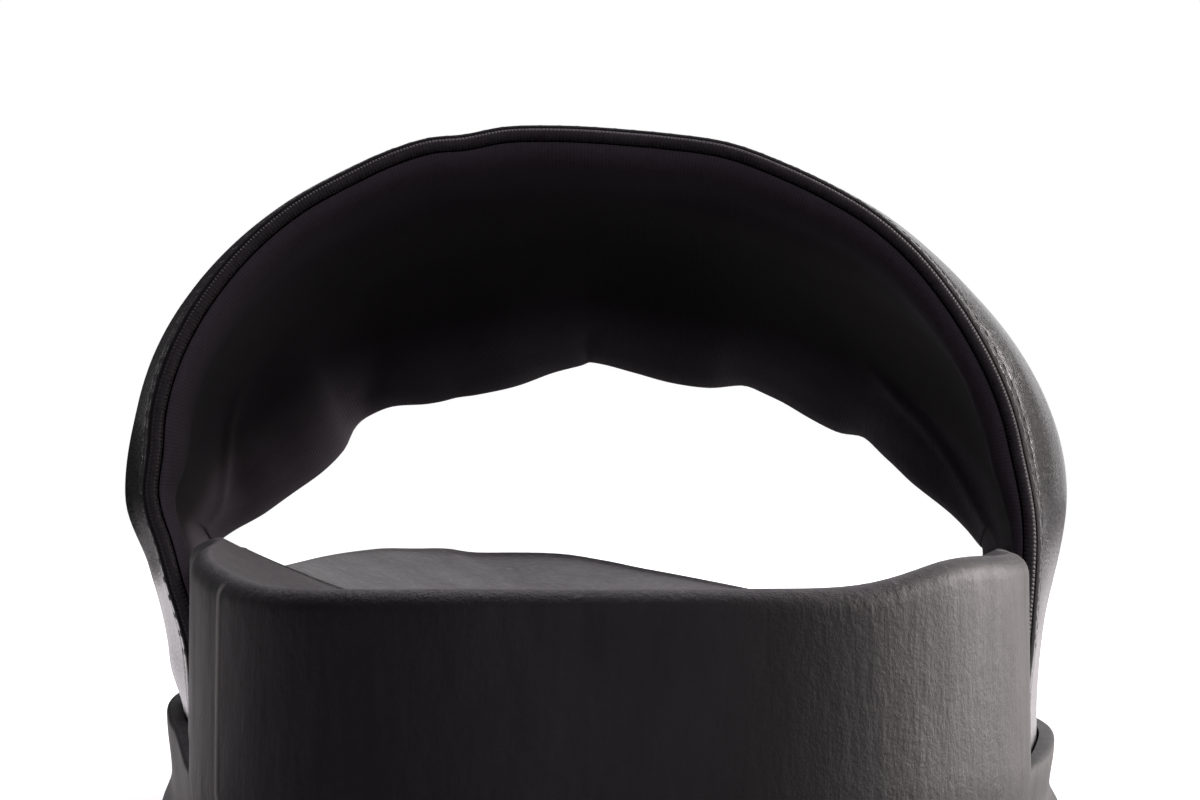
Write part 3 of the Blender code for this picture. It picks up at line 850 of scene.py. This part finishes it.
def stitch_row(distance, from_front):
    """A row of stitches round the band, this far from one of its edges."""
    def maker(bm):
        fine = [STITCHED_FROM + STITCHED_SPAN * k / STITCH_SAMPLES for k in range(STITCH_SAMPLES + 1)]
        places = []
        for around in fine:
            share = distance / band_width(around)
            across = 1 - share if from_front else share
            padding = band_padding(band_surface(around, across), around)
            deep = puff_depth(distance, padding) + STITCH_SINK
            deep += shell_relief(around, across, distance, 0.0, padding)
            places.append((band_place(around, across, deep), band_normal(around, across)))
        run = STITCH_PITCH
        for (a, up), (b, _) in zip(places, places[1:]):
            run += (b - a).length
            if run >= STITCH_PITCH:
                run -= STITCH_PITCH
                capsule(bm, a, (b - a).normalized(), up, STITCH_LENGTH, STITCH_RADIUS)
    return maker


# Materials

def new_material(name):
    made = bpy.data.materials.new(name)
    made.use_nodes = True
    tree = made.node_tree
    return made, tree, tree.nodes["Principled BSDF"]


def node(tree, kind, **inputs):
    made = tree.nodes.new(kind)
    for key, value in inputs.items():
        made.inputs[key.replace("_", " ")].default_value = value
    return made


def scaled(tree, source, scale):
    """Coordinates multiplied by one scale, or by one for each axis."""
    mapping = tree.nodes.new("ShaderNodeMapping")
    mapping.inputs["Scale"].default_value = scale if isinstance(scale, tuple) else (scale,) * 3
    tree.links.new(source, mapping.inputs["Vector"])
    return mapping.outputs["Vector"]


def noise_of(tree, vector, detail=3.0, roughness=0.55, scale=1.0):
    made = node(tree, "ShaderNodeTexNoise", Scale=scale, Detail=detail, Roughness=roughness)
    tree.links.new(vector, made.inputs["Vector"])
    return made.outputs["Fac"]


def math_of(tree, operation, a, b=None):
    made = tree.nodes.new("ShaderNodeMath")
    made.operation = operation
    for slot, value in enumerate((a, b)):
        if value is None:
            continue
        if isinstance(value, (int, float)):
            made.inputs[slot].default_value = value
        else:
            tree.links.new(value, made.inputs[slot])
    return made.outputs[0]


def weighted(tree, *terms):
    """The sum of sockets times their weights."""
    total = None
    for socket, weight in terms:
        term = math_of(tree, "MULTIPLY", socket, weight)
        total = term if total is None else math_of(tree, "ADD", total, term)
    return total


def ranged(tree, value, low, high, to_low, to_high):
    made = node(tree, "ShaderNodeMapRange")
    for slot, number in zip(("From Min", "From Max", "To Min", "To Max"), (low, high, to_low, to_high)):
        made.inputs[slot].default_value = number
    tree.links.new(value, made.inputs["Value"])
    return made.outputs["Result"]


def ramp(tree, value, stops):
    made = tree.nodes.new("ShaderNodeValToRGB")
    elements = made.color_ramp.elements
    while len(elements) < len(stops):
        elements.new(0.5)
    for element, (place, colour) in zip(elements, stops):
        element.position = place
        element.color = (*colour, 1.0)
    tree.links.new(value, made.inputs["Fac"])
    return made.outputs["Color"]


def bump(tree, height, strength, distance, before=None):
    made = node(tree, "ShaderNodeBump", Strength=strength, Distance=distance)
    tree.links.new(height, made.inputs["Height"])
    if before is not None:
        tree.links.new(before, made.inputs["Normal"])
    return made.outputs["Normal"]


def coordinates(tree, kind="Object"):
    return tree.nodes.new("ShaderNodeTexCoord").outputs[kind]


def split(tree, vector):
    made = tree.nodes.new("ShaderNodeSeparateXYZ")
    tree.links.new(vector, made.inputs[0])
    return made.outputs


def facing(tree):
    """The surface's normal, split into its parts."""
    return split(tree, tree.nodes.new("ShaderNodeNewGeometry").outputs["Normal"])


def mixed(tree, share, a, b):
    """Between two numbers or sockets by a share."""
    made = tree.nodes.new("ShaderNodeMix")
    tree.links.new(share, made.inputs[0])
    for slot, value in ((2, a), (3, b)):
        if isinstance(value, (int, float)):
            made.inputs[slot].default_value = value
        else:
            tree.links.new(value, made.inputs[slot])
    return made.outputs[0]


def mixed_colour(tree, share, a, b):
    made = tree.nodes.new("ShaderNodeMix")
    made.data_type = "RGBA"
    tree.links.new(share, made.inputs[0])
    for slot, value in ((6, a), (7, b)):
        if isinstance(value, tuple):
            made.inputs[slot].default_value = (*value, 1.0)
        else:
            tree.links.new(value, made.inputs[slot])
    return made.outputs[2]


def foam_material(name, dark, light, side, roughness):
    """Moulded foam: upright streaks on its walls, a painted highlight in a lighter, browner tone on
    walls that face sideways, a painted highlight line up the inner heel's parting line, and a fine
    mottle on top.
    """
    made, tree, shader = new_material(name)
    place = coordinates(tree)
    fine = noise_of(tree, scaled(tree, place, (1000.0, 1000.0, 200.0)), detail=3.0, roughness=0.6)
    streaks = noise_of(tree, scaled(tree, place, (360.0, 360.0, 85.0)), detail=4.0, roughness=0.6)
    broad = noise_of(tree, scaled(tree, place, (120.0, 120.0, 60.0)), detail=3.0)
    mottle = noise_of(tree, scaled(tree, place, 850.0), detail=5.0, roughness=0.8)
    patches = noise_of(tree, scaled(tree, place, 160.0), detail=3.0)
    grain = noise_of(tree, scaled(tree, place, 2600.0), detail=2.0)
    face = facing(tree)
    top = ranged(tree, face["Z"], 0.35, 0.75, 0.0, 1.0)
    # Walls facing sideways get the lighter, browner side tone: painted light from the side lamps.
    side_lit = ranged(tree, math_of(tree, "ABSOLUTE", face["X"]), 0.90, 0.945, 0.0, 1.0)
    wall_tone = weighted(tree, (streaks, 0.45), (broad, 0.30), (fine, 0.25))
    top_tone = weighted(tree, (mottle, 0.65), (patches, 0.35))
    tone = mixed(tree, top, wall_tone, top_tone)
    low, high = 0.36, 0.64
    plain = ramp(tree, tone, ((low, dark), (high, light)))
    side_light_tone = ramp(tree, tone, ((low, tuple(c * 0.6 for c in side)), (high, side)))
    colour = mixed_colour(tree, side_lit, plain, side_light_tone)
    # Painted highlight: a pale narrow line up the inner heel wall at the parting line, kept off the top.
    spot = split(tree, place)
    away = math_of(tree, "ABSOLUTE", math_of(tree, "SUBTRACT", spot["Y"], PARTING_Y + SHIFT.y))
    inner = ranged(tree, spot["X"], -0.031, -0.030, 1.0, 0.0)
    line = math_of(tree, "MULTIPLY", ranged(tree, away, 0.00012, 0.00045, 1.0, 0.0), inner)
    line = math_of(tree, "MULTIPLY", line, math_of(tree, "SUBTRACT", 1.0, top))
    colour = mixed_colour(tree, line, colour, PARTING_LINE_HIGHLIGHT)
    speck = math_of(tree, "MULTIPLY", ranged(tree, mottle, 0.60, 0.70, 0.0, 1.0), top)
    colour = mixed_colour(tree, speck, colour, SPECK_COLOUR)
    tree.links.new(colour, shader.inputs["Base Color"])
    rough = ranged(tree, tone, low, high, roughness + 0.07, roughness - 0.05)
    tree.links.new(rough, shader.inputs["Roughness"])
    normal = bump(tree, tone, 0.60, 0.00032)
    normal = bump(tree, mottle, 0.35, 0.00030, normal)
    normal = bump(tree, grain, 0.25, 0.00005, normal)
    tree.links.new(normal, shader.inputs["Normal"])
    return made


def leather_material(name):
    """Coated leather with a fine pebble and a soft sheen."""
    made, tree, shader = new_material(name)
    place = coordinates(tree)
    cells = node(tree, "ShaderNodeTexVoronoi", Scale=1.0, Randomness=1.0)
    cells.feature = "DISTANCE_TO_EDGE"
    wander = noise_of(tree, scaled(tree, place, 700.0), detail=2.0)
    mixer = tree.nodes.new("ShaderNodeVectorMath")
    mixer.operation = "MULTIPLY_ADD"
    tree.links.new(wander, mixer.inputs[0])
    mixer.inputs[1].default_value = (0.7, 0.7, 0.7)
    tree.links.new(scaled(tree, place, 1500.0), mixer.inputs[2])
    tree.links.new(mixer.outputs[0], cells.inputs["Vector"])
    pebble = ranged(tree, cells.outputs["Distance"], 0.0, 0.28, 0.0, 1.0)
    soft = noise_of(tree, scaled(tree, place, 120.0), detail=4.0)
    tone = weighted(tree, (pebble, 0.35), (soft, 0.65))
    colour = ramp(tree, tone, ((0.25, (0.0080, 0.0070, 0.0080)), (0.75, (0.0150, 0.0135, 0.0148))))
    tree.links.new(colour, shader.inputs["Base Color"])
    tree.links.new(ranged(tree, tone, 0.2, 0.8, 0.32, 0.24), shader.inputs["Roughness"])
    shader.inputs["Coat Weight"].default_value = 0.12
    shader.inputs["Coat Roughness"].default_value = 0.22
    normal = bump(tree, soft, 0.20, 0.0004)
    normal = bump(tree, pebble, 0.25, 0.00010, normal)
    tree.links.new(normal, shader.inputs["Normal"])
    return made


def smooth_run(tree, value, *limits):
    """Like ranged, with a soft start and end."""
    made = ranged(tree, value, *limits)
    made.node.interpolation_type = "SMOOTHSTEP"
    return made


def ribbed_material(name, dark, light, pitch, roughness, rib_depth, painted_highlight=None):
    """Cloth with fine ribs across the run of the band, from the sheet's own coordinates.

    The optional third tone is a painted highlight, paler near the rear edge and on the front roll."""
    made, tree, shader = new_material(name)
    run, from_edge, _ = split(tree, coordinates(tree, "UV"))
    wave = math_of(tree, "SINE", math_of(tree, "MULTIPLY", run, 2 * math.pi / pitch))
    cross = math_of(tree, "SINE", math_of(tree, "MULTIPLY", from_edge, 2 * math.pi / (pitch * 1.4)))
    knit = math_of(tree, "MULTIPLY", wave, cross)
    fuzz = noise_of(tree, scaled(tree, coordinates(tree), 1400.0), detail=4.0, roughness=0.7)
    blotch = noise_of(tree, scaled(tree, coordinates(tree), 90.0), detail=3.0)
    height = weighted(tree, (wave, 0.35), (knit, 0.25))
    tone = weighted(tree, (height, 0.25), (fuzz, 0.5), (blotch, 0.4))
    colour = ramp(tree, tone, ((0.25, dark), (0.75, light)))
    if painted_highlight:
        highlight_tone = ramp(tree, tone, ((0.25, tuple(c * 0.55 for c in painted_highlight)), (0.75, painted_highlight)))
        # Painted highlight: paler within 20 mm of the rear edge, and again from 58 mm across towards the
        # front edge.
        colour = mixed_colour(tree, smooth_run(tree, from_edge, 0.001, 0.020, 0.0, 1.0), highlight_tone, colour)
        colour = mixed_colour(tree, smooth_run(tree, from_edge, 0.058, 0.070, 0.0, 0.8), colour, highlight_tone)
    tree.links.new(colour, shader.inputs["Base Color"])
    shader.inputs["Roughness"].default_value = roughness
    shader.inputs["Specular IOR Level"].default_value = 0.2
    shader.inputs["Sheen Weight"].default_value = 0.01
    shader.inputs["Sheen Roughness"].default_value = 0.5
    normal = bump(tree, height, 0.6, rib_depth)
    normal = bump(tree, fuzz, 0.35, 0.00008, normal)
    tree.links.new(normal, shader.inputs["Normal"])
    return made


def edge_paint_material(name):
    """The matt paint on the leather's turned rim."""
    made, tree, shader = new_material(name)
    place = coordinates(tree)
    wear = noise_of(tree, scaled(tree, place, 900.0), detail=4.0, roughness=0.7)
    tree.links.new(ramp(tree, wear, ((0.3, (0.0080, 0.0072, 0.0078)), (0.7, (0.0200, 0.0185, 0.0195)))),
                   shader.inputs["Base Color"])
    shader.inputs["Roughness"].default_value = 0.75
    shader.inputs["Specular IOR Level"].default_value = 0.15
    tree.links.new(bump(tree, wear, 0.4, 0.00008), shader.inputs["Normal"])
    return made


def thread_material(name):
    """Waxed twisted thread."""
    made, tree, shader = new_material(name)
    place = coordinates(tree)
    twist = noise_of(tree, scaled(tree, place, (5200.0, 2600.0, 5200.0)), detail=2.0)
    tree.links.new(ramp(tree, twist, ((0.3, (0.028, 0.026, 0.027)), (0.7, (0.078, 0.073, 0.076)))),
                   shader.inputs["Base Color"])
    shader.inputs["Roughness"].default_value = 0.36
    tree.links.new(bump(tree, twist, 0.4, 0.00005), shader.inputs["Normal"])
    return made


def rubber_material(name):
    """Dull rubber with a little dust."""
    made, tree, shader = new_material(name)
    place = coordinates(tree)
    dust = noise_of(tree, scaled(tree, place, 240.0), detail=5.0, roughness=0.7)
    grain = noise_of(tree, scaled(tree, place, 1800.0), detail=3.0)
    tree.links.new(ramp(tree, dust, ((0.3, (0.010, 0.010, 0.010)), (0.75, (0.024, 0.023, 0.023)))),
                   shader.inputs["Base Color"])
    tree.links.new(ranged(tree, dust, 0.3, 0.7, 0.58, 0.74), shader.inputs["Roughness"])
    tree.links.new(bump(tree, grain, 0.3, 0.00008), shader.inputs["Normal"])
    return made


# Stage

def area_light(name, place, target, size, radiance, colour):
    data = bpy.data.lights.new(name, "AREA")
    data.shape = "RECTANGLE"
    data.size, data.size_y = size
    data.energy = radiance * math.pi * size[0] * size[1]
    data.color = colour
    obj = linked(name, data)
    obj.location = place
    obj.rotation_euler = (Vector(target) - Vector(place)).to_track_quat("-Z", "Y").to_euler()
    obj.visible_camera = False


def camera_seen(tree):
    """1 for what the camera sees directly, 0 for what lights the shoe."""
    return tree.nodes.new("ShaderNodeLightPath").outputs["Is Camera Ray"]


def make_world():
    world = bpy.data.worlds.new("studio")
    bpy.context.scene.world = world
    world.use_nodes = True
    tree = world.node_tree
    background = tree.nodes["Background"]
    seen = camera_seen(tree)
    tree.links.new(mixed_colour(tree, seen, WORLD_TINT, WHITE), background.inputs["Color"])
    strength = ranged(tree, seen, 0.0, 1.0, WORLD_LIGHT, WORLD_LIGHT_SEEN)
    tree.links.new(strength, background.inputs["Strength"])


def make_floor():
    """A pale floor that fades into the background, and glows softly on the shoe around its toe."""
    bm = bmesh.new()
    bmesh.ops.create_circle(bm, cap_ends=True, cap_tris=False, segments=96, radius=FLOOR_RADIUS)
    mesh = bpy.data.meshes.new("floor")
    bm.to_mesh(mesh)
    bm.free()
    obj = linked("floor", mesh)
    made, tree, shader = new_material("pale_floor")
    place = coordinates(tree)
    length = tree.nodes.new("ShaderNodeVectorMath")
    length.operation = "LENGTH"
    tree.links.new(place, length.inputs[0])
    reach, along = length.outputs["Value"], split(tree, place)["Y"]
    shader.inputs["Roughness"].default_value = 0.9
    shader.inputs["Specular IOR Level"].default_value = 0.1
    seen = camera_seen(tree)
    tree.links.new(mixed_colour(tree, seen, FLOOR_TINT, WHITE), shader.inputs["Emission Color"])
    tones = mixed_colour(tree, seen, (FLOOR_TONE,) * 3, (FLOOR_TONE_SEEN,) * 3)
    tree.links.new(tones, shader.inputs["Base Color"])
    near = ranged(tree, along, *FLOOR_SEEN_NEAR)
    white = math_of(tree, "ADD", near, ranged(tree, reach, *FLOOR_SEEN_FAR))
    front = ranged(tree, along, *FLOOR_GLOW_START)
    glow = math_of(tree, "MULTIPLY", front, ranged(tree, reach, *FLOOR_GLOW_END))
    tree.links.new(mixed(tree, seen, glow, white), shader.inputs["Emission Strength"])
    tree.links.new(ranged(tree, reach, *FLOOR_FADE), shader.inputs["Alpha"])
    mesh.materials.append(made)


def dark_card(name, near, far, depth, low, high):
    """A card beside the band that only its reflections meet, so the side's middle stays dark."""
    mesh = bpy.data.meshes.new(name)
    corners = [(x, depth, z) for x in (near, far) for z in (low, high)]
    mesh.from_pydata(corners, [], [(0, 1, 3, 2)])
    obj = linked(name, mesh)
    made, _, shader = new_material(name + "_black")
    shader.inputs["Base Color"].default_value = (*BLACK, 1.0)
    shader.inputs["Roughness"].default_value = 1.0
    shader.inputs["Specular IOR Level"].default_value = 0.0
    mesh.materials.append(made)
    obj.visible_camera = obj.visible_diffuse = obj.visible_shadow = False


def make_camera():
    data = bpy.data.cameras.new("camera")
    obj = linked("camera", data)
    obj.location = SHIFT + Vector((0.0, -CAMERA_DISTANCE, CAMERA_HEIGHT))
    obj.rotation_euler = (math.pi / 2, 0.0, 0.0)
    data.sensor_width = SENSOR_WIDTH
    data.lens = FOCAL_PIXELS / FRAME_WIDTH * data.sensor_width
    data.shift_x = (FRAME_WIDTH / 2 - AXIS_X) / FRAME_WIDTH
    data.shift_y = (AXIS_Y - FRAME_HEIGHT / 2) / FRAME_WIDTH
    data.clip_start = CLIP_START
    bpy.context.scene.camera = obj


def main():
    plan = Plan(PLAN_STEPS)
    foam = foam_material("footbed_foam_skin", **FOOTBED_FOAM)
    tray_foam = foam_material("midsole_foam_skin", **TRAY_FOAM)
    leather = leather_material("strap_leather_skin")
    tape = ribbed_material("strap_edge_tape", **EDGE_TAPE)
    textile = ribbed_material("strap_lining_skin", **LINING_CLOTH)
    thread = thread_material("stitch_thread")

    build("footbed_skin", stacked(plan, footbed_levels()), foam, ["footbed"])
    build("midsole_skin", stacked(plan, midsole_levels()), tray_foam, ["midsole"])

    outer_count, total = len(SHELL_OUTER), len(SHELL_ROWS)

    def shell_trim(column):
        """1 on the folded edges, 2 on the leather's rims beside them, 0 elsewhere."""
        if outer_count - 1 <= column < outer_count + LIP_COLUMNS or column >= total - 1 - LIP_COLUMNS:
            return 1
        return 2 if column < RIM_COLUMNS or outer_count - 1 - RIM_COLUMNS <= column < outer_count else 0

    build("strap_shell_skin", swept_band(SHELL_ROWS, shell_depth, shell_relief, shell_trim),
          [leather, tape, edge_paint_material("strap_edge_paint")], ["strap_upper"])
    padding = build("strap_padding", swept_band(lining_rows(), lining_depth, lining_relief), textile,
                    ["strap_lining"])
    for name, distance, from_front in STITCH_ROWS:
        build(name, stitch_row(distance, from_front), thread)

    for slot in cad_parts["outsole"].material_slots:
        slot.material = rubber_material("outsole_rubber_skin")

    make_world()
    make_floor()
    make_camera()
    for light in LIGHTS:
        area_light(*light)
    for card in DARK_CARDS:
        dark_card(*card)
    bpy.context.scene.view_settings.view_transform = "Standard"


main()
